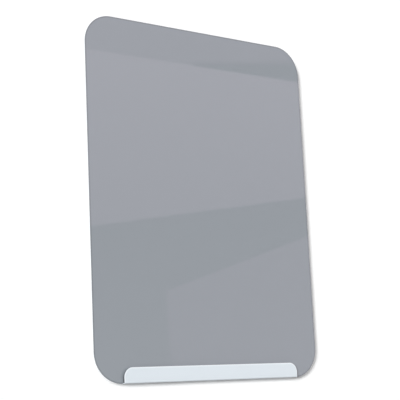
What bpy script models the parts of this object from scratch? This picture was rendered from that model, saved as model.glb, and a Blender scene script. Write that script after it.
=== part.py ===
"""A frameless magnetic whiteboard with a folded ledge, hung on a rail on the wall.

The wall is the plane y = 0, and the board faces -Y. The origin is the middle of the wall rail's
back face. The sheet metal pieces are made as in a workshop: a flat blank is cut, then folded.
"""

import math

import bmesh
import bpy
from mathutils import Matrix, Vector

# Sizes, in metres.

# Clearance between pieces that touch
GAP = 0.0003

# Writing sheet: steel with a gray dry-erase coat
SHEET_WIDTH = 0.4572
SHEET_HEIGHT = 0.6096
SHEET_THICKNESS = 0.0010
CORNER_RADIUS = 0.0508
EDGE_ROUNDING = 0.00025

# Foam tape between the writing sheet and the back panel
TAPE_THICKNESS = 0.0006
TAPE_WIDTH = 0.025
TAPE_INSET = 0.030

# Back panel, whose lower end is folded forward and up into the ledge
PANEL_THICKNESS = 0.0010
PANEL_INSET = 0.0020
PANEL_BEND_RADIUS = 0.0008
LEDGE_GAP = 0.0050
LIP_HEIGHT = 0.0254
LIP_CORNER_RADIUS = 0.0159

# Wall rail: a flange on the wall and an upturned lip in front of it
RAIL_LENGTH = 0.280
RAIL_THICKNESS = 0.0015
RAIL_FLANGE_HEIGHT = 0.024
RAIL_LIP_HEIGHT = 0.012
RAIL_CORNER_RADIUS = 0.003
RAIL_BEND_RADIUS = 0.0008
RAIL_TO_BOARD_TOP = 0.070

# Hook channel on the back panel: a base and a downturned lip behind the rail's lip
HOOK_LENGTH = 0.300
HOOK_THICKNESS = 0.0012
HOOK_BASE_HEIGHT = 0.040
HOOK_CORNER_RADIUS = 0.004
HOOK_BEND_RADIUS = 0.0005
HOOK_TO_WALL = 0.0010
HOOK_END_CLEARANCE = 0.0020
HOOK_STUD_PLACE_SHARES = (-0.43, -0.15, 0.15, 0.43)

# Spacer channel near the bottom: two brims on the panel and a crown towards the wall
SPACER_LENGTH = 0.300
SPACER_THICKNESS = 0.0012
SPACER_BRIM = 0.016
SPACER_CROWN = 0.028
SPACER_WALL_LEAN = 0.003
SPACER_CORNER_RADIUS = 0.004
SPACER_BEND_RADIUS = 0.0010
SPACER_TO_BOARD_BOTTOM = 0.085
SPACER_STUD_PLACE_SHARES = (-0.4, 0.4)
BUMPER_PLACE_SHARES = (-0.4, 0.4)

# Weld studs and flange nuts that hold both channels
STUD_RADIUS = 0.0020
STUD_BASE_RADIUS = 0.00275
STUD_BASE_HEIGHT = 0.0008
STUD_PROTRUSION = 0.0004
STUD_CHAMFER = 0.0004
NUT_ACROSS_FLATS = 0.0070
NUT_HEIGHT = 0.0032
NUT_FLANGE_RADIUS = 0.0046
NUT_FLANGE_HEIGHT = 0.0008
NUT_CHAMFER = 0.0005
NUT_PASSING_CLEARANCE = 0.0006

# Rubber bumpers, pressed into the spacer channel's crown
BUMPER_RADIUS = 0.0070
BUMPER_THICKNESS = 0.0025
BUMPER_ROUNDING = 0.0008
BUMPER_STEM_RADIUS = 0.0025
BUMPER_BARB_RADIUS = 0.0034
BUMPER_BARB_LENGTH = 0.0030

# Wall screws, washers and plugs
SCREW_SPACING = 0.200
SCREW_RADIUS = 0.0020
SCREW_LENGTH = 0.032
SCREW_TIP_LENGTH = 0.006
SCREW_HEAD_RADIUS = 0.0040
SCREW_HEAD_HEIGHT = 0.0025
RECESS_WIDTH = 0.0009
RECESS_SPAN = 0.0042
RECESS_DEPTH = 0.0014
RECESS_TAPER_SHARE = 0.5
WASHER_RADIUS = 0.0060
WASHER_THICKNESS = 0.0010
PLUG_RADIUS = 0.0030
PLUG_LENGTH = 0.030
PLUG_GROOVE_DEPTH = 0.0004
PLUG_SPLIT_WIDTH = 0.0009
PLUG_RIBS = 6

# How finely round shapes are divided
CORNER_STEPS = 20
SMALL_CORNER_STEPS = 5
BEND_STEPS = 5
ROUND_STEPS = 20
HOLE_STEPS = 20
MERGE_DISTANCE = 0.00001

# How far a cutter runs past what it cuts
OVERRUN = 0.001

# Places worked out from the sizes. Depths are middles of each sheet, and more negative is nearer the
# viewer.
HOOK_THROAT = GAP + NUT_HEIGHT + STUD_PROTRUSION + NUT_PASSING_CLEARANCE
RAIL_FLANGE_Y = -RAIL_THICKNESS / 2
HOOK_LIP_Y = -(HOOK_TO_WALL + HOOK_THICKNESS / 2)
RAIL_LIP_Y = HOOK_LIP_Y - HOOK_THICKNESS / 2 - GAP - RAIL_THICKNESS / 2
HOOK_BASE_Y = RAIL_LIP_Y - RAIL_THICKNESS / 2 - HOOK_THROAT - HOOK_THICKNESS / 2
PANEL_BACK_Y = HOOK_BASE_Y - HOOK_THICKNESS / 2 - GAP
PANEL_Y = PANEL_BACK_Y - PANEL_THICKNESS / 2
TAPE_Y = PANEL_Y - PANEL_THICKNESS / 2 - GAP - TAPE_THICKNESS / 2
SHEET_Y = TAPE_Y - TAPE_THICKNESS / 2 - GAP - SHEET_THICKNESS / 2
LIP_Y = SHEET_Y - SHEET_THICKNESS / 2 - LEDGE_GAP - PANEL_THICKNESS / 2
SPACER_BRIM_Y = PANEL_BACK_Y + GAP + SPACER_THICKNESS / 2
SPACER_CROWN_Y = -(BUMPER_THICKNESS + GAP + SPACER_THICKNESS / 2)

BOARD_TOP = RAIL_TO_BOARD_TOP
BOARD_BOTTOM = BOARD_TOP - SHEET_HEIGHT
STRAIGHT_BOTTOM = SHEET_WIDTH - 2 * CORNER_RADIUS
LEDGE_WIDTH = STRAIGHT_BOTTOM - 2 * GAP
RAIL_JOGGLE = RAIL_FLANGE_Y - RAIL_LIP_Y
RAIL_TOP = RAIL_FLANGE_HEIGHT / 2 + RAIL_JOGGLE + RAIL_LIP_HEIGHT
HOOK_TOP = RAIL_TOP + HOOK_BEND_RADIUS + HOOK_THICKNESS / 2
HOOK_LIP_END = RAIL_TOP - RAIL_LIP_HEIGHT + HOOK_END_CLEARANCE
HOOK_BASE_END = HOOK_TOP - HOOK_BASE_HEIGHT
SPACER_Z = BOARD_BOTTOM + SPACER_TO_BOARD_BOTTOM
STUD_HOLE_RADIUS = STUD_BASE_RADIUS + GAP
SCREW_HOLE_RADIUS = PLUG_RADIUS + GAP


def clear_scene():
    for old in list(bpy.data.objects):
        bpy.data.objects.remove(old, do_unlink=True)


def collection(name):
    made = bpy.data.collections.new(name)
    bpy.context.scene.collection.children.link(made)
    return made


def linear(value):
    return value / 12.92 if value <= 0.04045 else ((value + 0.055) / 1.055) ** 2.4


def material(name, colour, roughness, metallic):
    """A Principled material, with its colour as an sRGB hex number."""
    made = bpy.data.materials.new(name)
    made.use_nodes = True
    shader = made.node_tree.nodes["Principled BSDF"]
    channels = [linear((colour >> shift & 255) / 255) for shift in (16, 8, 0)]
    shader.inputs["Base Color"].default_value = (*channels, 1)
    shader.inputs["Roughness"].default_value = roughness
    shader.inputs["Metallic"].default_value = metallic
    made.diffuse_color = (*channels, 1)
    return made


def place(name, mesh, finish, location=(0, 0, 0), rotation=(0, 0, 0), parent=None):
    """Puts a mesh in the board's collection as one named piece."""
    piece = bpy.data.objects.new(name, mesh)
    board_pieces.objects.link(piece)
    piece.location = location
    piece.rotation_euler = rotation
    piece.parent = parent
    mesh.materials.clear()
    mesh.materials.append(finish)
    return piece


def finished(bm, name):
    """Ends a mesh: round stretches are shaded smooth, and edges stay sharp."""
    mesh = bpy.data.meshes.new(name)
    bm.to_mesh(mesh)
    bm.free()
    mesh.shade_smooth()
    mesh.set_sharp_from_angle(angle=math.radians(30))
    return mesh


def evaluated(piece, name):
    """The mesh of a piece with its modifiers applied; the piece itself goes."""
    depsgraph = bpy.context.evaluated_depsgraph_get()
    mesh = bpy.data.meshes.new_from_object(piece.evaluated_get(depsgraph))
    mesh.name = name
    bpy.data.objects.remove(piece, do_unlink=True)
    return mesh


def arc(centre, radius, start, end, steps):
    """Points on an arc, from start to end in degrees, both ends included."""
    points = []
    for i in range(steps + 1):
        angle = math.radians(start + (end - start) * i / steps)
        points.append((centre[0] + radius * math.cos(angle), centre[1] + radius * math.sin(angle)))
    return points


def circle(centre, radius, steps):
    return arc(centre, radius, 0, 360, steps)[:-1]


def rounded_rectangle(low, high, radius, steps):
    """The outline of a rectangle with four round corners, counter-clockwise from the lower left."""
    (left, bottom), (right, top) = low, high
    return (
        arc((left + radius, bottom + radius), radius, 180, 270, steps)
        + arc((right - radius, bottom + radius), radius, 270, 360, steps)
        + arc((right - radius, top - radius), radius, 0, 90, steps)
        + arc((left + radius, top - radius), radius, 90, 180, steps)
    )


class FoldedLine:
    """A bent centre line of a sheet: straight runs, joined by arcs at its corners.

    Its points are (y, z) pairs, and place() tells where a point of the flat blank goes, by its
    distance along the line.
    """

    def __init__(self, corners, radius):
        corners = [Vector(c) for c in corners]
        self.runs = []
        self.bend_lines = []
        self.length = 0
        here = corners[0]
        for before, corner, after in zip(corners, corners[1:], corners[2:]):
            way_in = (corner - before).normalized()
            way_out = (after - corner).normalized()
            turn = way_in.angle_signed(way_out)
            tangent = radius * math.tan(abs(turn) / 2)
            self.add_straight(here, corner - way_in * tangent)
            # angle_signed is positive clockwise, and a left turn has its centre on the left
            side = -1 if turn > 0 else 1
            centre = self.end + Vector((-way_in.y, way_in.x)) * radius * side
            self.add_arc(self.end, centre, radius, abs(turn), side)
            here = corner + way_out * tangent
        self.add_straight(here, corners[-1])

    def add_straight(self, start, end):
        length = (end - start).length
        way = (end - start).normalized()
        self.runs.append((self.length, self.length + length, lambda d: start + way * d))
        self.length += length
        self.end = end

    def add_arc(self, start, centre, radius, angle, side):
        length = radius * angle

        def along(distance):
            return centre + Matrix.Rotation(side * distance / radius, 2) @ (start - centre)

        self.runs.append((self.length, self.length + length, along))
        self.bend_lines += [self.length + length * i / BEND_STEPS for i in range(BEND_STEPS + 1)]
        self.length += length

    def place(self, distance):
        for start, end, along in self.runs:
            if distance <= end:
                return along(distance - start)
        return self.runs[-1][2](distance - self.runs[-1][0])


def folded_sheet(name, line, thickness, outline, holes, finish, parent):
    """Cuts a flat blank from an outline and its holes, folds it along a line, and gives it thickness.

    The blank's points are (x, distance along the folded line).
    """
    bm = bmesh.new()
    for loop in [outline, *holes]:
        corners = [bm.verts.new((x, along, 0)) for x, along in loop]
        for one, other in zip(corners, corners[1:] + corners[:1]):
            bm.edges.new((one, other))
    bmesh.ops.triangle_fill(bm, edges=bm.edges[:], use_beauty=True)
    bmesh.ops.dissolve_limit(bm, angle_limit=math.radians(1), verts=[], edges=bm.edges[:])
    for distance in line.bend_lines:
        bmesh.ops.bisect_plane(
            bm,
            geom=bm.verts[:] + bm.edges[:] + bm.faces[:],
            dist=MERGE_DISTANCE,
            plane_co=(0, distance, 0),
            plane_no=(0, 1, 0),
        )
    for corner in bm.verts:
        spot = line.place(corner.co.y)
        corner.co = (corner.co.x, spot.x, spot.y)
    piece = place(name, finished(bm, name), finish, parent=parent)
    solidify = piece.modifiers.new("Thickness", "SOLIDIFY")
    solidify.thickness = thickness
    solidify.offset = 0
    solidify.use_even_offset = True
    return piece


def turned_mesh(name, profile, closed=False):
    """A turned shape about Z. The profile's (radius, height) points run down its outer side."""
    bm = bmesh.new()
    corners = [bm.verts.new((radius, 0, height)) for radius, height in profile]
    for one, other in zip(corners, corners[1:]):
        bm.edges.new((one, other))
    if closed:
        bm.edges.new((corners[-1], corners[0]))
    mesh = bpy.data.meshes.new(name)
    bm.to_mesh(mesh)
    bm.free()
    master = bpy.data.objects.new(name, mesh)
    cutters.objects.link(master)
    screw = master.modifiers.new("Turn", "SCREW")
    screw.angle = math.radians(360)
    screw.steps = ROUND_STEPS
    screw.render_steps = ROUND_STEPS
    screw.use_merge_vertices = True
    screw.merge_threshold = MERGE_DISTANCE
    made = evaluated(master, name)
    made.shade_smooth()
    made.set_sharp_from_angle(angle=math.radians(30))
    return made


def guide(name, mesh):
    """A shape that only cuts or joins another. It isn't a piece."""
    made = bpy.data.objects.new(name, mesh)
    cutters.objects.link(made)
    made.hide_render = True
    made.display_type = "WIRE"
    return made


def combine(piece, other, operation):
    boolean = piece.modifiers.new(operation.title(), "BOOLEAN")
    boolean.operation = operation
    boolean.object = other
    boolean.solver = "EXACT"


def cylinder_mesh(name, radius, bottom, top, sides):
    bm = bmesh.new()
    bmesh.ops.create_cone(
        bm,
        cap_ends=True,
        segments=sides,
        radius1=radius,
        radius2=radius,
        depth=top - bottom,
        matrix=Matrix.Translation((0, 0, (top + bottom) / 2)),
    )
    return finished(bm, name)


# Turned and hexagonal pieces stand on their seat at height 0, and their height runs to the front.
FACING_FRONT = (math.radians(90), 0, 0)
FACING_WALL = (math.radians(-90), 0, 0)


def make_writing_sheet(parent):
    """Gray coated steel sheet. The ledge's floor lies in a shallow step of its bottom edge."""
    half = STRAIGHT_BOTTOM / 2
    step = PANEL_THICKNESS + GAP
    outline = rounded_rectangle(
        (-SHEET_WIDTH / 2, BOARD_BOTTOM),
        (SHEET_WIDTH / 2, BOARD_TOP),
        CORNER_RADIUS,
        CORNER_STEPS,
    )
    step_corners = [(-half, BOARD_BOTTOM + step), (half, BOARD_BOTTOM + step)]
    first_arc_end = CORNER_STEPS + 1
    outline = outline[:first_arc_end] + step_corners + outline[first_arc_end:]

    curve = bpy.data.curves.new("writing_sheet", "CURVE")
    curve.dimensions = "2D"
    curve.fill_mode = "BOTH"
    curve.extrude = SHEET_THICKNESS / 2
    spline = curve.splines.new("POLY")
    spline.points.add(len(outline) - 1)
    for point, (x, z) in zip(spline.points, outline):
        point.co = (x, z, 0, 1)
    spline.use_cyclic_u = True
    master = bpy.data.objects.new("writing_sheet", curve)
    cutters.objects.link(master)
    mesh = evaluated(master, "writing_sheet")
    bm = bmesh.new()
    bm.from_mesh(mesh)
    bmesh.ops.remove_doubles(bm, verts=bm.verts[:], dist=MERGE_DISTANCE)
    bmesh.ops.dissolve_limit(bm, angle_limit=math.radians(1), verts=[], edges=bm.edges[:])
    piece = place(
        "writing_sheet",
        finished(bm, "writing_sheet"),
        gray_coat,
        location=(0, SHEET_Y, 0),
        rotation=FACING_FRONT,
        parent=parent,
    )
    bevel = piece.modifiers.new("Rounded edge", "BEVEL")
    bevel.width = min(EDGE_ROUNDING, SHEET_THICKNESS / 3)
    bevel.segments = 2
    bevel.limit_method = "ANGLE"
    bevel.angle_limit = math.radians(60)
    return piece


def make_tapes(parent):
    """Three upright strips of foam tape."""
    side = SHEET_WIDTH / 2 - TAPE_INSET - TAPE_WIDTH / 2
    low = BOARD_BOTTOM + CORNER_RADIUS
    high = BOARD_TOP - CORNER_RADIUS
    for name, x in (("tape_left", -side), ("tape_centre", 0), ("tape_right", side)):
        bm = bmesh.new()
        bmesh.ops.create_cube(bm, size=1)
        bmesh.ops.scale(bm, verts=bm.verts[:], vec=(TAPE_WIDTH, TAPE_THICKNESS, high - low))
        place(name, finished(bm, name), foam, location=(x, TAPE_Y, (low + high) / 2), parent=parent)


def make_back_panel(parent):
    """White steel panel. A tongue at its lower end is folded forward and up into the ledge's lip."""
    floor_z = BOARD_BOTTOM + PANEL_THICKNESS / 2
    top_z = BOARD_TOP - PANEL_INSET
    line = FoldedLine(
        [
            (PANEL_Y, top_z),
            (PANEL_Y, floor_z),
            (LIP_Y, floor_z),
            (LIP_Y, BOARD_BOTTOM + LIP_HEIGHT),
        ],
        PANEL_BEND_RADIUS + PANEL_THICKNESS / 2,
    )
    side = SHEET_WIDTH / 2 - PANEL_INSET
    radius = CORNER_RADIUS - PANEL_INSET
    panel_length = SHEET_HEIGHT - 2 * PANEL_INSET
    tongue = LEDGE_WIDTH / 2
    lip_radius = LIP_CORNER_RADIUS
    outline = (
        arc((-side + radius, radius), radius, 270, 180, CORNER_STEPS)
        + arc((-side + radius, panel_length - radius), radius, 180, 90, CORNER_STEPS)
        + [(-tongue, panel_length)]
        + arc((-tongue + lip_radius, line.length - lip_radius), lip_radius, 180, 90, CORNER_STEPS)
        + arc((tongue - lip_radius, line.length - lip_radius), lip_radius, 90, 0, CORNER_STEPS)
        + [(tongue, panel_length)]
        + arc((side - radius, panel_length - radius), radius, 90, 0, CORNER_STEPS)
        + arc((side - radius, radius), radius, 360, 270, CORNER_STEPS)
    )
    return folded_sheet("back_panel", line, PANEL_THICKNESS, outline, [], white_coat, parent)


def channel_blank(length, run, corner_radius):
    return rounded_rectangle((-length / 2, 0), (length / 2, run), corner_radius, SMALL_CORNER_STEPS)


def make_hook_channel(parent):
    """Steel channel whose lip turns down behind the wall rail's lip."""
    line = FoldedLine(
        [
            (HOOK_BASE_Y, HOOK_BASE_END),
            (HOOK_BASE_Y, HOOK_TOP),
            (HOOK_LIP_Y, HOOK_TOP),
            (HOOK_LIP_Y, HOOK_LIP_END),
        ],
        HOOK_BEND_RADIUS + HOOK_THICKNESS / 2,
    )
    along = HOOK_STUD_Z - HOOK_BASE_END
    holes = [circle((x, along), STUD_HOLE_RADIUS, HOLE_STEPS) for x in HOOK_STUD_XS]
    outline = channel_blank(HOOK_LENGTH, line.length, HOOK_CORNER_RADIUS)
    return folded_sheet("hook_channel", line, HOOK_THICKNESS, outline, holes, zinc, parent)


def make_spacer_channel(parent):
    """Hat section near the bottom, with a hole in its crown for each bumper."""
    wall_foot = SPACER_CROWN / 2 + SPACER_WALL_LEAN
    brim_end = wall_foot + SPACER_BRIM
    line = FoldedLine(
        [
            (SPACER_BRIM_Y, SPACER_Z - brim_end),
            (SPACER_BRIM_Y, SPACER_Z - wall_foot),
            (SPACER_CROWN_Y, SPACER_Z - SPACER_CROWN / 2),
            (SPACER_CROWN_Y, SPACER_Z + SPACER_CROWN / 2),
            (SPACER_BRIM_Y, SPACER_Z + wall_foot),
            (SPACER_BRIM_Y, SPACER_Z + brim_end),
        ],
        SPACER_BEND_RADIUS + SPACER_THICKNESS / 2,
    )
    stud_along = SPACER_BRIM / 2
    holes = []
    for x in SPACER_STUD_XS:
        holes.append(circle((x, stud_along), STUD_HOLE_RADIUS, HOLE_STEPS))
        holes.append(circle((x, line.length - stud_along), STUD_HOLE_RADIUS, HOLE_STEPS))
    for x in BUMPER_XS:
        holes.append(circle((x, line.length / 2), BUMPER_STEM_RADIUS + GAP, HOLE_STEPS))
    outline = channel_blank(SPACER_LENGTH, line.length, SPACER_CORNER_RADIUS)
    return folded_sheet("spacer_channel", line, SPACER_THICKNESS, outline, holes, zinc, parent)


def stud_mesh(base_thickness):
    """Weld stud: a flat foot on the panel and a shank that ends just past its nut."""
    height = base_thickness + GAP + NUT_HEIGHT + STUD_PROTRUSION
    profile = [
        (0, height),
        (STUD_RADIUS - STUD_CHAMFER, height),
        (STUD_RADIUS, height - STUD_CHAMFER),
        (STUD_RADIUS, STUD_BASE_HEIGHT),
        (STUD_BASE_RADIUS, STUD_BASE_HEIGHT),
        (STUD_BASE_RADIUS, 0),
        (0, 0),
    ]
    return turned_mesh("weld_stud", profile)


def nut_mesh():
    """Hexagon nut with chamfered corners on a round flange, bored for the stud."""
    corner_radius = NUT_ACROSS_FLATS / 2 / math.cos(math.radians(30))
    master = guide("nut_master", cylinder_mesh("nut_master", corner_radius, 0, NUT_HEIGHT, 6))
    dome = [
        (0, NUT_HEIGHT),
        (corner_radius - NUT_CHAMFER, NUT_HEIGHT),
        (corner_radius + OVERRUN, NUT_HEIGHT - (NUT_CHAMFER + OVERRUN) / 2),
        (corner_radius + OVERRUN, -OVERRUN),
        (0, -OVERRUN),
    ]
    flange = [
        (0, NUT_FLANGE_HEIGHT),
        (NUT_FLANGE_RADIUS - NUT_CHAMFER, NUT_FLANGE_HEIGHT),
        (NUT_FLANGE_RADIUS, NUT_FLANGE_HEIGHT / 2),
        (NUT_FLANGE_RADIUS, 0),
        (0, 0),
    ]
    bore_radius = STUD_RADIUS + GAP
    shapes = [
        (guide("nut_dome", turned_mesh("nut_dome", dome)), "INTERSECT"),
        (guide("nut_flange", turned_mesh("nut_flange", flange)), "UNION"),
        (
            guide(
                "nut_bore",
                cylinder_mesh("nut_bore", bore_radius, -OVERRUN, NUT_HEIGHT + OVERRUN, HOLE_STEPS),
            ),
            "DIFFERENCE",
        ),
    ]
    for shape, operation in shapes:
        combine(master, shape, operation)
    mesh = evaluated(master, "flange_nut")
    for shape, _ in shapes:
        bpy.data.objects.remove(shape, do_unlink=True)
    mesh.shade_smooth()
    mesh.set_sharp_from_angle(angle=math.radians(30))
    return mesh


def make_studs_and_nuts(parent):
    nut = nut_mesh()
    hook_stud = stud_mesh(HOOK_THICKNESS)
    spacer_stud = stud_mesh(SPACER_THICKNESS)
    brim_middle = SPACER_CROWN / 2 + SPACER_WALL_LEAN + SPACER_BRIM / 2
    hook_places = [(x, HOOK_STUD_Z) for x in HOOK_STUD_XS]
    spacer_places = [
        (x, SPACER_Z + offset) for offset in (-brim_middle, brim_middle) for x in SPACER_STUD_XS
    ]
    foot_y = PANEL_BACK_Y + GAP
    for carrier, stud, thickness, places in (
        ("hook", hook_stud, HOOK_THICKNESS, hook_places),
        ("spacer", spacer_stud, SPACER_THICKNESS, spacer_places),
    ):
        for number, (x, z) in enumerate(places, 1):
            nut_y = foot_y + thickness + GAP
            place(f"weld_stud_{carrier}_{number}", stud, zinc, (x, foot_y, z), FACING_WALL, parent)
            place(f"flange_nut_{carrier}_{number}", nut, zinc, (x, nut_y, z), FACING_WALL, parent)


def make_bumpers(parent):
    """Rubber bumpers with a round head on the wall and a barbed stem through the crown."""
    throat = BUMPER_THICKNESS + GAP + SPACER_THICKNESS + GAP
    head = arc(
        (BUMPER_RADIUS - BUMPER_ROUNDING, BUMPER_ROUNDING), BUMPER_ROUNDING, 0, -90, SMALL_CORNER_STEPS
    )
    profile = [
        (0, throat + BUMPER_BARB_LENGTH),
        (BUMPER_STEM_RADIUS / 2, throat + BUMPER_BARB_LENGTH),
        (BUMPER_BARB_RADIUS, throat),
        (BUMPER_STEM_RADIUS, throat),
        (BUMPER_STEM_RADIUS, BUMPER_THICKNESS),
        (BUMPER_RADIUS, BUMPER_THICKNESS),
        *head,
        (0, 0),
    ]
    mesh = turned_mesh("bumper", profile)
    for side, x in zip(("left", "right"), BUMPER_XS):
        place(f"bumper_{side}", mesh, rubber, (x, 0, SPACER_Z), FACING_FRONT, parent)


def make_wall_rail(parent):
    """Steel rail: a flange on the wall, a joggle forward, and an upturned lip."""
    bottom = -RAIL_FLANGE_HEIGHT / 2
    line = FoldedLine(
        [
            (RAIL_FLANGE_Y, bottom),
            (RAIL_FLANGE_Y, -bottom),
            (RAIL_LIP_Y, -bottom + RAIL_JOGGLE),
            (RAIL_LIP_Y, RAIL_TOP),
        ],
        RAIL_BEND_RADIUS + RAIL_THICKNESS / 2,
    )
    holes = [circle((x, -bottom), SCREW_HOLE_RADIUS, HOLE_STEPS) for x in SCREW_XS]
    outline = channel_blank(RAIL_LENGTH, line.length, RAIL_CORNER_RADIUS)
    return folded_sheet("wall_rail", line, RAIL_THICKNESS, outline, holes, zinc, parent)


def screw_mesh():
    """Pan-head wood screw with a cross recess. Height 0 is under its head."""
    dome = arc((0, 0), 1, 90, 0, SMALL_CORNER_STEPS)
    profile = [
        *[(SCREW_HEAD_RADIUS * x, SCREW_HEAD_HEIGHT * z) for x, z in dome],
        (SCREW_RADIUS, 0),
        (SCREW_RADIUS, SCREW_TIP_LENGTH - SCREW_LENGTH),
        (0, -SCREW_LENGTH),
    ]
    master = guide("screw_master", turned_mesh("screw_master", profile))
    arms = []
    for width, depth in ((RECESS_SPAN, RECESS_WIDTH), (RECESS_WIDTH, RECESS_SPAN)):
        bm = bmesh.new()
        bmesh.ops.create_cube(bm, size=1)
        for corner in bm.verts:
            taper = 1 if corner.co.z > 0 else RECESS_TAPER_SHARE
            corner.co.x *= width * taper
            corner.co.y *= depth * taper
            corner.co.z *= RECESS_DEPTH + OVERRUN
            corner.co.z += SCREW_HEAD_HEIGHT - RECESS_DEPTH / 2 + OVERRUN / 2
        arms.append(guide("recess_arm", finished(bm, "recess_arm")))
    for arm in arms:
        combine(master, arm, "DIFFERENCE")
    mesh = evaluated(master, "wall_screw")
    for arm in arms:
        bpy.data.objects.remove(arm, do_unlink=True)
    mesh.shade_smooth()
    mesh.set_sharp_from_angle(angle=math.radians(30))
    return mesh


def washer_mesh():
    bore = SCREW_RADIUS + GAP
    profile = [
        (bore, WASHER_THICKNESS),
        (WASHER_RADIUS, WASHER_THICKNESS),
        (WASHER_RADIUS, 0),
        (bore, 0),
    ]
    return turned_mesh("wall_washer", profile, closed=True)


def plug_mesh():
    """Ribbed wall plug, a tube round the screw, split in two legs that spread as the screw goes in.

    Height 0 is the wall's face, and it runs inwards. The collar and the tip hold the legs together.
    """
    bore = SCREW_RADIUS + GAP
    collar = PLUG_LENGTH / (PLUG_RIBS + 1)
    rib = collar
    outside = [(PLUG_RADIUS, 0), (PLUG_RADIUS, -collar)]
    for i in range(PLUG_RIBS):
        top = -collar - rib * i
        outside.append((PLUG_RADIUS - PLUG_GROOVE_DEPTH, top - rib / 4))
        outside.append((PLUG_RADIUS, top - rib))
    profile = [(bore, 0), *outside, (bore, -PLUG_LENGTH)]
    master = guide("plug_master", turned_mesh("plug_master", profile, closed=True))
    split_top = -collar - rib
    split_end = rib - PLUG_LENGTH
    bm = bmesh.new()
    bmesh.ops.create_cube(bm, size=1)
    for corner in bm.verts:
        corner.co.x *= PLUG_SPLIT_WIDTH
        corner.co.y *= 2 * (PLUG_RADIUS + OVERRUN)
        corner.co.z *= split_top - split_end
        corner.co.z += (split_top + split_end) / 2
    split = guide("plug_split", finished(bm, "plug_split"))
    combine(master, split, "DIFFERENCE")
    mesh = evaluated(master, "wall_plug")
    bpy.data.objects.remove(split, do_unlink=True)
    mesh.shade_smooth()
    mesh.set_sharp_from_angle(angle=math.radians(30))
    return mesh


def make_wall_fasteners(parent):
    screw = screw_mesh()
    washer = washer_mesh()
    plug = plug_mesh()
    washer_y = -RAIL_THICKNESS - GAP
    head_y = washer_y - WASHER_THICKNESS - GAP
    for side, x in zip(("left", "right"), SCREW_XS):
        place(f"wall_screw_{side}", screw, zinc, (x, head_y, 0), FACING_FRONT, parent)
        place(f"wall_washer_{side}", washer, zinc, (x, washer_y, 0), FACING_FRONT, parent)
        place(f"wall_plug_{side}", plug, nylon, (x, 0, 0), FACING_FRONT, parent)


# Places along the channels
HOOK_STUD_XS = [share * HOOK_LENGTH for share in HOOK_STUD_PLACE_SHARES]
HOOK_STUD_Z = HOOK_BASE_END + HOOK_BASE_HEIGHT / 4
SPACER_STUD_XS = [share * SPACER_LENGTH for share in SPACER_STUD_PLACE_SHARES]
BUMPER_XS = [share * SPACER_LENGTH for share in BUMPER_PLACE_SHARES]
SCREW_XS = [-SCREW_SPACING / 2, SCREW_SPACING / 2]

clear_scene()
board_pieces = collection("magnetic_whiteboard")
cutters = collection("cutters")
gray_coat = material("gray_dry_erase_coat", 0x9FA3AA, 0.12, 0)
white_coat = material("white_powder_coat", 0xE6EBEE, 0.4, 0)
zinc = material("zinc_plated_steel", 0xB4B6B8, 0.35, 1)
rubber = material("gray_rubber", 0x3A3B3D, 0.8, 0)
foam = material("foam_tape", 0x606468, 0.9, 0)
nylon = material("nylon", 0xC8C8C4, 0.5, 0)

# The board lifts straight up off the rail, so its pieces hang on an empty at the rail.
board = bpy.data.objects.new("board", None)
board_pieces.objects.link(board)
wall_mount = bpy.data.objects.new("wall_mount", None)
board_pieces.objects.link(wall_mount)

make_writing_sheet(board)
make_tapes(board)
make_back_panel(board)
make_hook_channel(board)
make_spacer_channel(board)
make_studs_and_nuts(board)
make_bumpers(board)
make_wall_rail(wall_mount)
make_wall_fasteners(wall_mount)
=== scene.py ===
# %% [markdown]
# A magnetic whiteboard on its wall: a steel sheet with a gray, glossy dry-erase coat, taped to a
# white steel panel whose bottom end is folded up in front of it as a ledge. The whole board hangs
# from a rail that is screwed to the wall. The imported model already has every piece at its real
# size and place, so this script never moves one. It gives each piece the finish of the real
# thing, and sets up the studio and the camera.

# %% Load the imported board
import math

import bpy
from mathutils import Euler, Matrix, Vector


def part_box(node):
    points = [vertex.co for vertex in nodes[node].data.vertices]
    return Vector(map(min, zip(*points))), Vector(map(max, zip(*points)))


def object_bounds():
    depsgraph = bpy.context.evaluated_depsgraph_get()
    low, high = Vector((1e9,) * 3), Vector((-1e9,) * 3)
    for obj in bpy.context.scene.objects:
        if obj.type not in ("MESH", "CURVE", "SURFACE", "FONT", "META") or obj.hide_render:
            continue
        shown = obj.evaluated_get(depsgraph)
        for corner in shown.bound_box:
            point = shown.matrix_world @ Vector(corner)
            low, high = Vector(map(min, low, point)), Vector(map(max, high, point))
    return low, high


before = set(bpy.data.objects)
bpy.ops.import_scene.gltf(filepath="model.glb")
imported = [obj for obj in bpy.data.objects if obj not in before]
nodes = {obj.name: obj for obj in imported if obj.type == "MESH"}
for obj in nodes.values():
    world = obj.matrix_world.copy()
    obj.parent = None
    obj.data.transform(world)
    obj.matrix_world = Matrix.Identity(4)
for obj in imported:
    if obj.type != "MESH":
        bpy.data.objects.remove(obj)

cad_low, cad_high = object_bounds()
print(len(nodes), "pieces in the packed board, from", cad_low, "to", cad_high)

# %% [markdown]
# Everything is in metres, so sizes that a maker would give in millimetres are written with MM.
# Colours are written as sRGB hex values, because that is how paint cards and pictures give them,
# and the renderer works in linear light, so one function turns them. One more function adds a
# node with its options and what feeds it, which keeps each finish short to read. Sockets that
# share a name go by number: a Math node takes its values at 0 and 1, and a Mix node takes its share
# at 0, plain values at 2 and 3 and colours at 6 and 7, which it gives out mixed at 2.

# %% Units, colours and nodes
MM = 0.001


def linear(colour):
    """The linear colour, with alpha, of an sRGB hex value such as #8E9399."""
    shares = [int(colour[i:i + 2], 16) / 255 for i in (1, 3, 5)]
    return [s / 12.92 if s <= 0.04045 else ((s + 0.055) / 1.055) ** 2.4 for s in shares] + [1]


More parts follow.
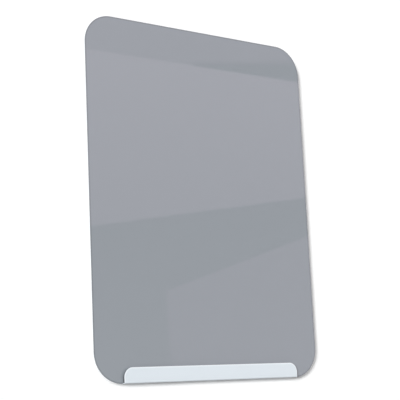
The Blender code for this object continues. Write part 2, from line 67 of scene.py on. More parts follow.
def add(tree, kind, inputs=None, **options):
    """Adds a node. An input is a plain value, an output socket, or a node whose first output feeds it."""
    made = tree.nodes.new(kind)
    for option, value in options.items():
        setattr(made, option, value)
    for socket, value in (inputs or {}).items():
        if isinstance(value, bpy.types.Node):
            value = value.outputs[0]
        if isinstance(value, bpy.types.NodeSocket):
            tree.links.new(value, made.inputs[socket])
        else:
            made.inputs[socket].default_value = value
    return made


def empty_material(name):
    """A material without any node, and its tree."""
    material = bpy.data.materials.new(name)
    material.use_nodes = True
    material.node_tree.nodes.clear()
    return material, material.node_tree


print("a mid gray of #808080 is", round(linear("#808080")[0], 3), "in linear light")

# %% [markdown]
# The photograph was taken from the board's lower left, so its upright sides lean together
# upwards. The four straight edges of the board, carried on to where they cross, give the place
# and turn of a camera whose picture they match within a quarter of a pixel, with a long lens and
# no shift. Its focal length is counted in the photograph's pixels, and its place is measured from
# the middle of the wall rail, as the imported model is.

# %% The camera
PHOTO_SIDE = 400
FOCAL_LENGTH = 1093.8
SENSOR_WIDTH = 36
CAMERA_PLACE = (-1.0869, -1.5209, -0.5606)
CAMERA_TURN = math.radians(35.51)
CAMERA_TILT = math.radians(10.031)
CAMERA_ROLL = math.radians(-2.68)

camera = bpy.data.objects.new("camera", bpy.data.cameras.new("camera"))
bpy.context.scene.collection.objects.link(camera)
bpy.context.scene.camera = camera
camera.data.sensor_width = SENSOR_WIDTH
camera.data.lens = FOCAL_LENGTH / PHOTO_SIDE * SENSOR_WIDTH
upright = Euler((math.pi / 2 + CAMERA_TILT, 0, -CAMERA_TURN)).to_matrix()
turned = upright @ Matrix.Rotation(CAMERA_ROLL, 3, "Z")
camera.matrix_world = Matrix.Translation(CAMERA_PLACE) @ turned.to_4x4()
print("camera lens", round(camera.data.lens, 1), "mm")

# %% [markdown]
# The studio is white all round. A product photographer gets this with a big white tent, whose walls
# show as white in the picture and in reflections, but light the board only softly. A world can do
# both at once, because a light ray can be asked where it comes from. The Standard view leaves the
# colours as they are, so white stays white.

# %% The white world
bpy.context.scene.view_settings.view_transform = "Standard"
SOFT_LIGHT = 0.42


def white_studio():
    """White to the camera and in reflections, and a softer light to everything else."""
    world = bpy.data.worlds.new("white_studio")
    world.use_nodes = True
    tree = world.node_tree
    tree.nodes.clear()
    ray = add(tree, "ShaderNodeLightPath").outputs
    seen = add(tree, "ShaderNodeMath", {0: ray["Is Camera Ray"], 1: ray["Is Glossy Ray"]},
               operation="MAXIMUM")
    seen = add(tree, "ShaderNodeMath", {0: seen, 1: ray["Is Transmission Ray"]}, operation="MAXIMUM")
    strength = add(tree, "ShaderNodeMapRange", {"Value": seen, "To Min": SOFT_LIGHT, "To Max": 1})
    light = add(tree, "ShaderNodeBackground", {"Color": linear("#FFFFFF"), "Strength": strength})
    add(tree, "ShaderNodeOutputWorld", {"Surface": light})
    return world


bpy.context.scene.world = white_studio()
print("the world is white, and gives", SOFT_LIGHT, "of that as light")

# %% [markdown]
# A broad lamp at the left in front throws the short soft shadow at the right and below, and a weak
# one nearer the middle lets it fade round the lower left corner. Another behind the wall lights the
# back of the board as much as its front when it is seen from there. All together give a plain
# level, at which a colour looks as it is written.

# %% The lamps
LAMP_SPREAD = math.radians(15)


def add_lamp(name, power, azimuth, elevation):
    """A far, broad lamp. Azimuth 0 stands in front of the board and 90 at its right."""
    lamp = bpy.data.objects.new(name, bpy.data.lights.new(name, "SUN"))
    bpy.context.scene.collection.objects.link(lamp)
    lamp.data.energy = power
    lamp.data.angle = LAMP_SPREAD
    lamp.rotation_euler = (math.pi / 2 - math.radians(elevation), 0, math.radians(azimuth))
    print(name, "at azimuth", azimuth, "and elevation", elevation)


add_lamp("left_lamp", power=2.74, azimuth=-51, elevation=7.5)
add_lamp("middle_lamp", power=0.49, azimuth=-28, elevation=12)
add_lamp("back_lamp", power=2.0, azimuth=150, elevation=35)

# %% [markdown]
# The wall stands just behind the rail and catches the shadow. It must not hide the back of the
# board from a camera behind it, nor keep light from it, so it shows only to the camera and only
# from its front. Light that gets to what the camera sees by way of another surface meets it too,
# or the lamp behind it would brighten the shadow by way of the board's back.

# %% The wall
WALL_GAP = 0.3 * MM
WALL_WIDTH = 12
PAST_FIRST_SURFACE = 1.5


def add_plane(name, width, place, turn, material):
    """A square plane of the studio."""
    bpy.ops.mesh.primitive_plane_add(size=width, location=place, rotation=turn)
    plane = bpy.context.object
    plane.name = name
    plane.data.materials.append(material)
    print(name, "is", width, "m wide")


def wall_paint():
    """White paint that shows from the front to the camera, and to light bound for a second surface."""
    material, tree = empty_material("matt_white_wall_paint")
    ray = add(tree, "ShaderNodeLightPath").outputs
    behind = add(tree, "ShaderNodeNewGeometry").outputs["Backfacing"]
    front = add(tree, "ShaderNodeMath", {0: ray["Is Camera Ray"], 1: behind}, operation="SUBTRACT")
    steps = add(tree, "ShaderNodeMath", {0: ray["Diffuse Depth"], 1: ray["Is Shadow Ray"]})
    later = add(tree, "ShaderNodeMath", {0: steps, 1: PAST_FIRST_SURFACE}, operation="GREATER_THAN")
    shows = add(tree, "ShaderNodeMath", {0: front, 1: later}, operation="MAXIMUM")
    paint = add(tree, "ShaderNodeBsdfDiffuse", {"Color": linear("#FFFFFF")})
    clear = add(tree, "ShaderNodeBsdfTransparent")
    mixed = add(tree, "ShaderNodeMixShader", {0: shows, 1: clear, 2: paint})
    add(tree, "ShaderNodeOutputMaterial", {"Surface": mixed})
    return material


add_plane("studio_wall", WALL_WIDTH, (0, WALL_GAP, 0), (math.pi / 2, 0, 0), wall_paint())

# %% [markdown]
# The floor is plain and pale, well below the board. It shows only from above, so that a camera low
# down can still look up at the ledge. To the camera and in reflections it is as white as the world,
# with a faint glow that hides where the two meet. To the board it is duller, so that it throws back
# no more light than the rest of the studio gives.

# %% The floor
FLOOR_DROP = 0.7
FLOOR_WIDTH = 60
FLOOR_GLOW = 0.08
FLOOR_DULL = "#A8A8A8"


def floor_paint():
    """White paint to the camera and in reflections, duller to the board, and clear from below."""
    material, tree = empty_material("matt_white_floor_paint")
    ray = add(tree, "ShaderNodeLightPath").outputs
    seen = add(tree, "ShaderNodeMath", {0: ray["Is Camera Ray"], 1: ray["Is Glossy Ray"]},
               operation="MAXIMUM")
    paint = add(tree, "ShaderNodeBsdfDiffuse", {"Color": linear("#FFFFFF")})
    glow = add(tree, "ShaderNodeEmission", {"Strength": FLOOR_GLOW})
    lit = add(tree, "ShaderNodeAddShader", {0: paint, 1: glow})
    dull = add(tree, "ShaderNodeBsdfDiffuse", {"Color": linear(FLOOR_DULL)})
    above = add(tree, "ShaderNodeMixShader", {0: seen, 1: dull, 2: lit})
    below = add(tree, "ShaderNodeNewGeometry").outputs["Backfacing"]
    clear = add(tree, "ShaderNodeBsdfTransparent")
    mixed = add(tree, "ShaderNodeMixShader", {0: below, 1: above, 2: clear})
    add(tree, "ShaderNodeOutputMaterial", {"Surface": mixed})
    material.cycles.emission_sampling = "NONE"
    return material


add_plane("studio_floor", FLOOR_WIDTH, (0, 0, cad_low.z - FLOOR_DROP), (0, 0, 0), floor_paint())

# %% [markdown]
# A glossy board shows what stands in front of it, and in the photograph that is most of what
# says that it is glossy: a broad light band with crisp slanting edges, a fainter one above it
# and a pale patch at the lower right. They could be painted on the sheet, but then they would
# stay still when the camera moves. So they are light cards of the studio, seen only in
# reflections. Each corner of a card is chosen in the photograph's pixels. From there a ray goes
# from the camera to the board's face, bounces, and runs on to the plane in which the cards stand.

# %% Where a card's corner stands
CARD_PLANE = -1.8
face_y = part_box("writing_sheet")[0].y


def card_point(pixel):
    """The point of the card plane that the face mirrors to this pixel of the photograph."""
    across = (pixel[0] - PHOTO_SIDE / 2) / FOCAL_LENGTH
    down = (pixel[1] - PHOTO_SIDE / 2) / FOCAL_LENGTH
    ray = turned @ Vector((across, -down, -1))
    on_face = camera.location + ray * ((face_y - camera.location.y) / ray.y)
    bounced = Vector((ray.x, -ray.y, ray.z))
    return on_face + bounced * ((CARD_PLANE - face_y) / bounced.y)


middle = card_point((PHOTO_SIDE / 2, PHOTO_SIDE / 2))
print("in the picture's middle the face mirrors", [round(value, 2) for value in middle])

# %% [markdown]
# The light of a card falls off along it, as daylight does across a ceiling. So each corner glows
# as much as a number of its own says, and the renderer blends these numbers over the card. The
# window and what it shines on are faintly pink beside the dim room.

# %% The cards' light
WINDOW_TINT = "#FFEEFB"
ROOM_TINT = "#FFF9FF"


def card_light(name, tint):
    """Light that only reflections see, as bright as each corner's glow says."""
    material, tree = empty_material(name)
    glow = add(tree, "ShaderNodeAttribute", attribute_name="glow").outputs["Fac"]
    light = add(tree, "ShaderNodeEmission", {"Color": linear(tint), "Strength": glow})
    clear = add(tree, "ShaderNodeBsdfTransparent")
    mirrored = add(tree, "ShaderNodeLightPath").outputs["Is Glossy Ray"]
    mixed = add(tree, "ShaderNodeMixShader", {0: mirrored, 1: clear, 2: light})
    add(tree, "ShaderNodeOutputMaterial", {"Surface": mixed})
    material.cycles.emission_sampling = "NONE"
    return material


def add_card(name, material, corners, glows):
    """A flat card and its twin, with its corners as the photograph's pixels and a glow for each."""
    mesh = bpy.data.meshes.new(name)
    mesh.from_pydata([card_point(corner) for corner in corners], [], [range(len(corners))])
    mesh.attributes.new("glow", "FLOAT", "POINT").data.foreach_set("value", glows)
    mesh.materials.append(material)
    for side, label in ((1, name), (-1, "far_" + name)):
        card = bpy.data.objects.new(label, mesh)
        card.scale.x = side
        bpy.context.scene.collection.objects.link(card)
    print(name, "has", len(corners), "corners and a twin at the other side")


window_light = card_light("window_light", WINDOW_TINT)
room_light = card_light("room_light", ROOM_TINT)
print("lights for the cards:", window_light.name, "and", room_light.name)

# %% [markdown]
# Six cards fill all that the face mirrors: the window with its broad band, the ceiling above it,
# the dark gap between the two at the right, with a soft edge, the dim room below, and the pale desk
# at the lower right. Cards that meet share their corners, so that no white shows between them. Each
# has a twin at the other side, so that a view from there shows the gloss as well.

# %% The cards
TOP_LEFT, TOP_RIGHT = (60, -40), (340, -40)
CEILING_CORNER, CEILING_END = (193, 60), (340, 56)
GAP_CORNER, GAP_END = (193, 65.7), (340, 65)
WINDOW_TOP_LEFT, WINDOW_TOP_RIGHT = (60, 44.8), (340, 88.8)
WINDOW_LOW_LEFT, WINDOW_LOW_RIGHT = (60, 230.2), (340, 193.2)
DESK_CORNER, DESK_END = (166, 291), (340, 223.9)
LOW_LEFT, DESK_FOOT, LOW_RIGHT = (60, 400), (173.5, 400), (340, 400)
CEILING_LEFT_GLOW = 1.8
CEILING_RIGHT_GLOW = 1.57
GAP_GLOW = 0.85
ROOM_FAR_GLOW = 0.88
DESK_GLOW = 1.47

add_card("window_card", window_light,
         corners=[WINDOW_TOP_LEFT, WINDOW_TOP_RIGHT, WINDOW_LOW_RIGHT, WINDOW_LOW_LEFT],
         glows=[2.42, 2.08, 1.75, 1.85])
add_card("ceiling_card", window_light,
         corners=[TOP_LEFT, TOP_RIGHT, CEILING_END, CEILING_CORNER, GAP_CORNER, WINDOW_TOP_LEFT],
         glows=[CEILING_LEFT_GLOW] + [CEILING_RIGHT_GLOW] * 4 + [CEILING_LEFT_GLOW])
add_card("ceiling_edge_card", window_light,
         corners=[CEILING_CORNER, CEILING_END, GAP_END, GAP_CORNER],
         glows=[CEILING_RIGHT_GLOW] * 2 + [GAP_GLOW] * 2)
add_card("gap_card", room_light,
         corners=[GAP_CORNER, GAP_END, WINDOW_TOP_RIGHT],
         glows=[GAP_GLOW] * 3)
add_card("room_card", room_light,
         corners=[WINDOW_LOW_LEFT, WINDOW_LOW_RIGHT, DESK_END, DESK_CORNER, DESK_FOOT, LOW_LEFT],
         glows=[1, ROOM_FAR_GLOW, ROOM_FAR_GLOW, 1, 1.15, 1.2])
add_card("desk_card", window_light,
         corners=[DESK_CORNER, DESK_END, LOW_RIGHT, DESK_FOOT],
         glows=[DESK_GLOW] * 4)

# %% [markdown]
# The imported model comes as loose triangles, so each facet would show on screws, nuts and bends.
# Its corner points may not change, but modifiers may be added. A small node group joins the
# facets into one skin, drops the flat shading that they came with and shades them smooth. Next the
# facets of a flat face become one, and a bevel rounds the edges a little, as on every real pressed
# or turned piece. Its hardened normals keep the flat faces flat. The writing sheet is joined too,
# but keeps its sharp cut edge and its flat shading, because it has to mirror like a pane of glass.

# %% Joined and rounded pieces
JOIN_DISTANCE = 0.002 * MM
FLAT_WITHIN = math.radians(0.2)
SHARP_ANGLE = math.radians(32)


def joined_skin(name, smooth):
    """A node group that joins loose facets and shades them smooth or flat."""
    tree = bpy.data.node_groups.new(name, "GeometryNodeTree")
    tree.interface.new_socket("Geometry", in_out="INPUT", socket_type="NodeSocketGeometry")
    tree.interface.new_socket("Geometry", in_out="OUTPUT", socket_type="NodeSocketGeometry")
    loose = add(tree, "NodeGroupInput")
    joined = add(tree, "GeometryNodeMergeByDistance", {"Geometry": loose, "Distance": JOIN_DISTANCE})
    bare = add(tree, "GeometryNodeRemoveAttribute", {"Geometry": joined, "Name": "custom_normal"})
    shaded = add(tree, "GeometryNodeSetShadeSmooth", {"Geometry": bare, "Shade Smooth": smooth})
    add(tree, "NodeGroupOutput", {0: shaded})
    return tree


smooth_skin = joined_skin("smooth_skin", True)
flat_skin = joined_skin("flat_skin", False)


def join_facets(name, skin):
    """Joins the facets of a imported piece, and those of each flat face into one."""
    nodes[name].modifiers.new("Joined skin", "NODES").node_group = skin
    flat = nodes[name].modifiers.new("Flat faces", "DECIMATE")
    flat.decimate_type = "DISSOLVE"
    flat.angle_limit = FLAT_WITHIN


def round_edges(width, *names):
    """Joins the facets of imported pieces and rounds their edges."""
    for name in names:
        join_facets(name, smooth_skin)
        bevel = nodes[name].modifiers.new("Rounded edges", "BEVEL")
        bevel.width = width
        bevel.segments = 2
        bevel.limit_method = "ANGLE"
        bevel.angle_limit = SHARP_ANGLE
        bevel.harden_normals = True
    print("edges rounded by", width / MM, "mm on", len(names), "pieces")


def dress(material, *names):
    """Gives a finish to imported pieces."""
    for name in names:
        nodes[name].material_slots[0].material = material
    print(material.name, "on", len(names), "pieces")


def named(start):
    """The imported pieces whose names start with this."""
    return [name for name in sorted(nodes) if name.startswith(start)]


print("edges sharper than", round(math.degrees(SHARP_ANGLE)), "degrees get rounded")

# %% [markdown]
# Two finishes need to know where an outline runs: the writing sheet's, and that of the ledge in
# front of it. Seen from the front, both are boxes with round corners, so the distance from the
# outline can be worked out from a point's place alone, and no picture has to be painted.

# %% Bands along an outline
CORNER_RADIUS = 50.8 * MM
LEDGE_CORNER_RADIUS = 15.9 * MM
LEDGE_TOP = 25.4 * MM


def outline_band(tree, low, high, radius, width):
    """1 along the outline of a box with round corners, seen from the front, and 0 inside it."""
    reach = (high - low) / 2 - Vector((radius, 0, radius))
    where = add(tree, "ShaderNodeTexCoord").outputs["Object"]
    from_middle = add(tree, "ShaderNodeVectorMath", {0: where, 1: (low + high) / 2}, operation="SUBTRACT")
    across = add(tree, "ShaderNodeVectorMath", {0: from_middle}, operation="ABSOLUTE")
    past = add(tree, "ShaderNodeVectorMath", {0: across, 1: reach}, operation="SUBTRACT")
    round_corner = add(tree, "ShaderNodeVectorMath", {0: past, 1: (0, 0, 0)}, operation="MAXIMUM")
    distance = add(tree, "ShaderNodeVectorMath", {0: round_corner}, operation="LENGTH").outputs["Value"]
    return add(tree, "ShaderNodeMapRange", {"Value": distance, "From Min": radius - width,
                                            "From Max": radius - width / 2})


def ledge_front():
    """The low and high corners of the ledge's lip, carried on below to keep its lower corners square."""
    low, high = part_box("back_panel")
    half_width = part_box("writing_sheet")[1].x - CORNER_RADIUS
    top = low.z + LEDGE_TOP
    return Vector((-half_width, low.y, low.z - LEDGE_TOP)), Vector((half_width, face_y, top))


print("the ledge's top is at", round(ledge_front()[1].z / MM, 1), "mm")

# %% [markdown]
# The face is a gray gloss coat on a thin steel sheet. It is rolled on and cured hard, so that ink
# wipes off it: a smooth plastic-like layer with a faint orange peel, and slightly duller streaks
# where a cloth has passed. Along the rounded rim a darker hairline is painted on, as painted shade
# where the rim turns from the light, drawn a little wider than it would be so that it shows. Painted
# shade lies behind the ledge too, darkest at the bottom. The cut edge of the sheet is bare steel,
# which the coat only just wraps, and its back has a plain matt backing coat. A point's normal tells
# the front from the edge and the back, so one material can have all three.

# %% The writing sheet's coat
SHEET_GRAY = "#8D9399"
# Painted shade: a darker hairline along the sheet's rim, in this gray.
RIM_SHADE_GRAY = "#7C8288"
EDGE_GRAY = "#6E7276"
BACKING_GRAY = "#A9A8A2"
# Painted shade on the face behind the ledge, in this gray.
LEDGE_SHADE_GRAY = "#62666A"
# How wide the painted shade along the rim is drawn.
RIM_SHADE_WIDTH = 2.8 * MM
# How far inside the ledge's ends the painted shade fades out.
LEDGE_SHADE_MARGIN = 1 * MM
PEEL_WIDTH = 6 * MM
PEEL_HEIGHT = 0.0002 * MM
WIPE_LENGTH = 160 * MM
WIPE_WIDTH = 14 * MM
COAT_ROUGHNESS = 0.018
WIPED_ROUGHNESS = 0.03
BACKING_ROUGHNESS = 0.5
FACING = 0.7


def shade_behind_ledge(tree, where):
    """Painted shade on the face behind the ledge: 1 at its bottom, fading to 0 at the ledge's top and its
    ends.
    """
    low, high = ledge_front()
    height = add(tree, "ShaderNodeSeparateXYZ", {0: where}).outputs["Z"]
    settled = add(tree, "ShaderNodeMapRange", {"Value": height, "From Min": high.z - LEDGE_TOP,
                                               "From Max": high.z, "To Min": 1, "To Max": 0})
    beside = outline_band(tree, low, high, LEDGE_CORNER_RADIUS, LEDGE_SHADE_MARGIN)
    return add(tree, "ShaderNodeMath", {0: settled, 1: beside}, operation="SUBTRACT", use_clamp=True)


def gray_dry_erase_coat():
    """Gray gloss coat on steel."""
    material, tree = empty_material("gray_dry_erase_coat")
    where = add(tree, "ShaderNodeTexCoord").outputs
    side = add(tree, "ShaderNodeSeparateXYZ", {0: where["Normal"]}).outputs["Y"]
    is_front = add(tree, "ShaderNodeMath", {0: side, 1: -FACING}, operation="LESS_THAN")
    is_back = add(tree, "ShaderNodeMath", {0: side, 1: FACING}, operation="GREATER_THAN")
    rear = add(tree, "ShaderNodeMix", {0: is_back, 6: linear(EDGE_GRAY), 7: linear(BACKING_GRAY)},
               data_type="RGBA").outputs[2]
    # Painted shade along the sheet's rounded rim, where it turns from the light.
    rim = outline_band(tree, *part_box("writing_sheet"), CORNER_RADIUS, RIM_SHADE_WIDTH)
    coat = add(tree, "ShaderNodeMix", {0: rim, 6: linear(SHEET_GRAY), 7: linear(RIM_SHADE_GRAY)},
               data_type="RGBA").outputs[2]
    # Painted shade behind the ledge, darkest at its bottom.
    dust_and_shade = shade_behind_ledge(tree, where["Object"])
    front = add(tree, "ShaderNodeMix", {0: dust_and_shade, 6: coat, 7: linear(LEDGE_SHADE_GRAY)}, data_type="RGBA").outputs[2]
    colour = add(tree, "ShaderNodeMix", {0: is_front, 6: rear, 7: front}, data_type="RGBA").outputs[2]
    streak = add(tree, "ShaderNodeMapping", {
        "Vector": where["Object"], "Scale": (1 / WIPE_LENGTH, 1 / WIPE_WIDTH, 1 / WIPE_WIDTH)})
    wiped = add(tree, "ShaderNodeTexNoise", {"Vector": streak, "Scale": 1, "Detail": 3})
    gloss = add(tree, "ShaderNodeMapRange", {"Value": wiped, "From Min": 0.3, "From Max": 0.7,
                                             "To Min": COAT_ROUGHNESS, "To Max": WIPED_ROUGHNESS})
    rough = add(tree, "ShaderNodeMix", {0: is_front, 2: BACKING_ROUGHNESS, 3: gloss})
    peel = add(tree, "ShaderNodeTexNoise", {"Vector": where["Object"], "Scale": 1 / PEEL_WIDTH, "Detail": 1})
    bump = add(tree, "ShaderNodeBump", {"Height": peel, "Distance": PEEL_HEIGHT})
    shader = add(tree, "ShaderNodeBsdfPrincipled", {"Base Color": colour, "Roughness": rough, "IOR": 1.5,
                                                    "Normal": bump})
    add(tree, "ShaderNodeOutputMaterial", {"Surface": shader})
    return material


dress(gray_dry_erase_coat(), "writing_sheet")
join_facets("writing_sheet", flat_skin)

# %% [markdown]
# The back panel and its ledge are one folded steel sheet with white powder coat. The powder is
# sprayed on and melts into a tough skin, whose fine orange peel breaks up its reflections. A thin
# brighter border round the ledge's lip is a painted highlight, where its edge catches the light,
# and the narrow fold behind the lip is painted darker, as painted shade.

# %% The back panel's powder coat
PANEL_WHITE = "#D7DFE5"
PANEL_WHITE_PEAK = "#D9E1E7"
# Painted highlight round the ledge's lip, in this white and this width.
BORDER_HIGHLIGHT_WHITE = "#E6ECF1"
BORDER_HIGHLIGHT_WIDTH = 2.6 * MM
# Painted shade on the inner faces of the fold behind the lip.
FOLD_SHADE_GRAY = "#8C9298"
POWDER_WIDTH = 1.6 * MM
POWDER_HEIGHT = 0.006 * MM
FOLDED_EDGE = 0.2 * MM


def white_powder_coat():
    """White powder coat with a fine orange peel, a painted highlight on the ledge's border and painted shade
    inside its fold.
    """
    material, tree = empty_material("white_powder_coat")
    where = add(tree, "ShaderNodeTexCoord").outputs
    peel = add(tree, "ShaderNodeTexNoise", {"Vector": where["Object"], "Scale": 1 / POWDER_WIDTH,
                                            "Detail": 2})
    coat = add(tree, "ShaderNodeMix", {0: peel, 6: linear(PANEL_WHITE), 7: linear(PANEL_WHITE_PEAK)},
               data_type="RGBA").outputs[2]
    depth = add(tree, "ShaderNodeSeparateXYZ", {0: where["Object"]}).outputs["Y"]
    on_ledge = add(tree, "ShaderNodeMath", {0: depth, 1: face_y}, operation="LESS_THAN")
    # Painted highlight along the border of the ledge's lip.
    band = outline_band(tree, *ledge_front(), LEDGE_CORNER_RADIUS, BORDER_HIGHLIGHT_WIDTH)
    border_highlight = add(tree, "ShaderNodeMath", {0: band, 1: on_ledge}, operation="MULTIPLY")
    colour = add(tree, "ShaderNodeMix", {0: border_highlight, 6: coat, 7: linear(BORDER_HIGHLIGHT_WHITE)},
                 data_type="RGBA").outputs[2]
    # Painted shade on the faces inside the ledge's fold.
    side = add(tree, "ShaderNodeSeparateXYZ", {0: where["Normal"]}).outputs["Y"]
    inward = add(tree, "ShaderNodeMath", {0: side, 1: FACING}, operation="GREATER_THAN")
    fold_shade = add(tree, "ShaderNodeMath", {0: inward, 1: on_ledge}, operation="MULTIPLY")
    colour = add(tree, "ShaderNodeMix", {0: fold_shade, 6: colour, 7: linear(FOLD_SHADE_GRAY)},
                 data_type="RGBA").outputs[2]
    bump = add(tree, "ShaderNodeBump", {"Height": peel, "Distance": POWDER_HEIGHT})
    shader = add(tree, "ShaderNodeBsdfPrincipled", {"Base Color": colour, "Roughness": 0.35, "IOR": 1.5,
                                                    "Normal": bump})
    add(tree, "ShaderNodeOutputMaterial", {"Surface": shader})
    return material


dress(white_powder_coat(), "back_panel")
round_edges(FOLDED_EDGE, "back_panel")

# %% [markdown]
# The channels and the wall rail are folded from galvanised sheet. Rolling leaves fine lines along
# the coil, here along X, and the zinc has frozen in faint flat crystals a few millimetres across,
# each a little brighter or duller than the next. The lines are finer than a render shows, so they
# are drawn a little wider.

# %% The channels' galvanised steel
ZINC_DARK = "#A9AEB1"
ZINC_LIGHT = "#BFC3C5"
CRYSTAL_WIDTH = 5 * MM
ROLLING_LENGTH = 90 * MM
ROLLING_WIDTH = 0.8 * MM
ROLLING_HEIGHT = 0.002 * MM
ROLLING_SHARE = 0.6


def galvanised_steel():
    """Zinc on rolled steel sheet."""
    material, tree = empty_material("galvanised_steel")
    where = add(tree, "ShaderNodeTexCoord").outputs["Object"]
    crystals = add(tree, "ShaderNodeTexVoronoi", {"Vector": where, "Scale": 1 / CRYSTAL_WIDTH})
    shade = add(tree, "ShaderNodeSeparateColor", {0: crystals.outputs["Color"]})
    lines = add(tree, "ShaderNodeMapping", {
        "Vector": where, "Scale": (1 / ROLLING_LENGTH, 1 / ROLLING_WIDTH, 1 / ROLLING_WIDTH)})
    rolled = add(tree, "ShaderNodeTexNoise", {"Vector": lines, "Scale": 1, "Detail": 2})
    mottle = add(tree, "ShaderNodeMix", {0: ROLLING_SHARE, 2: shade, 3: rolled})
    colour = add(tree, "ShaderNodeMix", {0: mottle, 6: linear(ZINC_DARK), 7: linear(ZINC_LIGHT)},
                 data_type="RGBA").outputs[2]
    rough = add(tree, "ShaderNodeMapRange", {"Value": mottle, "To Min": 0.46, "To Max": 0.34})
    bump = add(tree, "ShaderNodeBump", {"Height": rolled, "Distance": ROLLING_HEIGHT})
    shader = add(tree, "ShaderNodeBsdfPrincipled", {"Base Color": colour, "Metallic": 1, "Roughness": rough,
                                                    "Normal": bump})
    add(tree, "ShaderNodeOutputMaterial", {"Surface": shader})
    return material


dress(galvanised_steel(), "hook_channel", "spacer_channel", "wall_rail")
round_edges(FOLDED_EDGE, "hook_channel", "spacer_channel", "wall_rail")

# %% [markdown]
# Screws, washers, nuts and studs are cut or headed from steel wire and then plated with zinc in a
# drum. The plating is thin and bright, with a bluish clear finish over it, and the tumbling
# leaves small scuffs.

# %% The fasteners' bright zinc
BRIGHT_ZINC = "#C9CED1"
BLUE_ZINC = "#B7C1CB"
SCUFF_WIDTH = 0.7 * MM
TINT_WIDTH = 4 * MM
FASTENER_EDGE = 0.12 * MM


def bright_zinc_plating():
    """Bright zinc with a bluish clear finish."""
    material, tree = empty_material("bright_zinc_plating")
    where = add(tree, "ShaderNodeTexCoord").outputs["Object"]
    tint = add(tree, "ShaderNodeTexNoise", {"Vector": where, "Scale": 1 / TINT_WIDTH})
    colour = add(tree, "ShaderNodeMix", {0: tint, 6: linear(BRIGHT_ZINC), 7: linear(BLUE_ZINC)},
                 data_type="RGBA").outputs[2]
    scuffs = add(tree, "ShaderNodeTexNoise", {"Vector": where, "Scale": 1 / SCUFF_WIDTH, "Detail": 4})
    rough = add(tree, "ShaderNodeMapRange", {"Value": scuffs, "From Min": 0.35, "From Max": 0.7,
                                             "To Min": 0.22, "To Max": 0.4})
    shader = add(tree, "ShaderNodeBsdfPrincipled", {"Base Color": colour, "Metallic": 1, "Roughness": rough})
    add(tree, "ShaderNodeOutputMaterial", {"Surface": shader})
    return material


fasteners = named("weld_stud") + named("flange_nut") + named("wall_screw") + named("wall_washer")
dress(bright_zinc_plating(), *fasteners)
round_edges(FASTENER_EDGE, *fasteners)

# %% [markdown]
# The bumpers are moulded black rubber. It is matt, takes the fine spark-eroded grain of its mould,
# and is a little dusty where it has been handled.

# %% The bumpers' rubber
RUBBER_BLACK = "#2E2F30"
RUBBER_DUSTY = "#444546"
MOULD_GRAIN = 0.25 * MM
GRAIN_HEIGHT = 0.01 * MM
DUST_WIDTH = 5 * MM
RUBBER_EDGE = 0.15 * MM


def moulded_black_rubber():
    """Matt black rubber with a fine grain."""
    material, tree = empty_material("moulded_black_rubber")
    where = add(tree, "ShaderNodeTexCoord").outputs["Object"]
    dust_and_shade = add(tree, "ShaderNodeTexNoise", {"Vector": where, "Scale": 1 / DUST_WIDTH, "Detail": 4})
    colour = add(tree, "ShaderNodeMix", {0: dust_and_shade, 6: linear(RUBBER_BLACK), 7: linear(RUBBER_DUSTY)},
                 data_type="RGBA").outputs[2]
    rough = add(tree, "ShaderNodeMapRange", {"Value": dust_and_shade, "To Min": 0.55, "To Max": 0.8})
    grain = add(tree, "ShaderNodeTexNoise", {"Vector": where, "Scale": 1 / MOULD_GRAIN})
    bump = add(tree, "ShaderNodeBump", {"Height": grain, "Distance": GRAIN_HEIGHT})
    shader = add(tree, "ShaderNodeBsdfPrincipled", {"Base Color": colour, "Roughness": rough, "Normal": bump})
    add(tree, "ShaderNodeOutputMaterial", {"Surface": shader})
    return material


dress(moulded_black_rubber(), *named("bumper"))
round_edges(RUBBER_EDGE, *named("bumper"))

# %% [markdown]
# The tape that bonds the sheet to the panel is closed-cell foam. Only its cut edges can be seen,
# where the cells are open, so small dents lie all over it, with painted shade in their middles.

# %% The foam tape
FOAM_GRAY = "#6A6E72"
FOAM_SHADE = "#4E5256"
CELL_WIDTH = 0.35 * MM
CELL_DEPTH = 0.05 * MM
FOAM_EDGE = 0.05 * MM


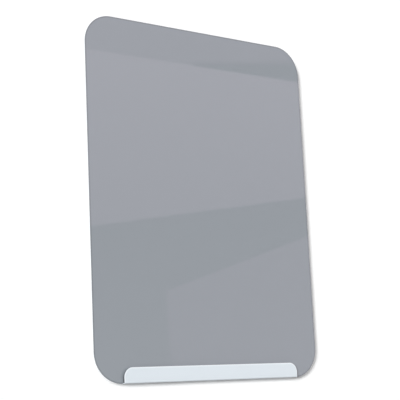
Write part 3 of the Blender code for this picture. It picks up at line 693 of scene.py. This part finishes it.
def closed_cell_foam():
    """Gray foam with open cells at its cut edges."""
    material, tree = empty_material("closed_cell_foam")
    where = add(tree, "ShaderNodeTexCoord").outputs["Object"]
    cells = add(tree, "ShaderNodeTexVoronoi", {"Vector": where, "Scale": 1 / CELL_WIDTH})
    # The cells' middles are painted darker: painted shade in the dents of the open cells.
    colour = add(tree, "ShaderNodeMix", {0: cells, 6: linear(FOAM_SHADE), 7: linear(FOAM_GRAY)},
                 data_type="RGBA").outputs[2]
    bump = add(tree, "ShaderNodeBump", {"Height": cells, "Distance": CELL_DEPTH})
    shader = add(tree, "ShaderNodeBsdfPrincipled", {"Base Color": colour, "Roughness": 0.85, "Normal": bump})
    add(tree, "ShaderNodeOutputMaterial", {"Surface": shader})
    return material


dress(closed_cell_foam(), *named("tape"))
round_edges(FOAM_EDGE, *named("tape"))

# %% [markdown]
# The wall plugs are moulded in gray nylon, a half-matt plastic whose surface ripples slightly
# where it has cooled.

# %% The wall plugs' nylon
NYLON_GRAY = "#BEBEBA"
NYLON_PALE = "#CCCCC8"
RIPPLE_WIDTH = 2 * MM
RIPPLE_HEIGHT = 0.02 * MM
NYLON_EDGE = 0.1 * MM


def moulded_gray_nylon():
    """Half-matt gray nylon."""
    material, tree = empty_material("moulded_gray_nylon")
    where = add(tree, "ShaderNodeTexCoord").outputs["Object"]
    ripple = add(tree, "ShaderNodeTexNoise", {"Vector": where, "Scale": 1 / RIPPLE_WIDTH})
    colour = add(tree, "ShaderNodeMix", {0: ripple, 6: linear(NYLON_GRAY), 7: linear(NYLON_PALE)},
                 data_type="RGBA").outputs[2]
    rough = add(tree, "ShaderNodeMapRange", {"Value": ripple, "To Min": 0.35, "To Max": 0.5})
    bump = add(tree, "ShaderNodeBump", {"Height": ripple, "Distance": RIPPLE_HEIGHT})
    shader = add(tree, "ShaderNodeBsdfPrincipled", {"Base Color": colour, "Roughness": rough, "IOR": 1.53,
                                                    "Normal": bump})
    add(tree, "ShaderNodeOutputMaterial", {"Surface": shader})
    return material


dress(moulded_gray_nylon(), *named("wall_plug"))
round_edges(NYLON_EDGE, *named("wall_plug"))
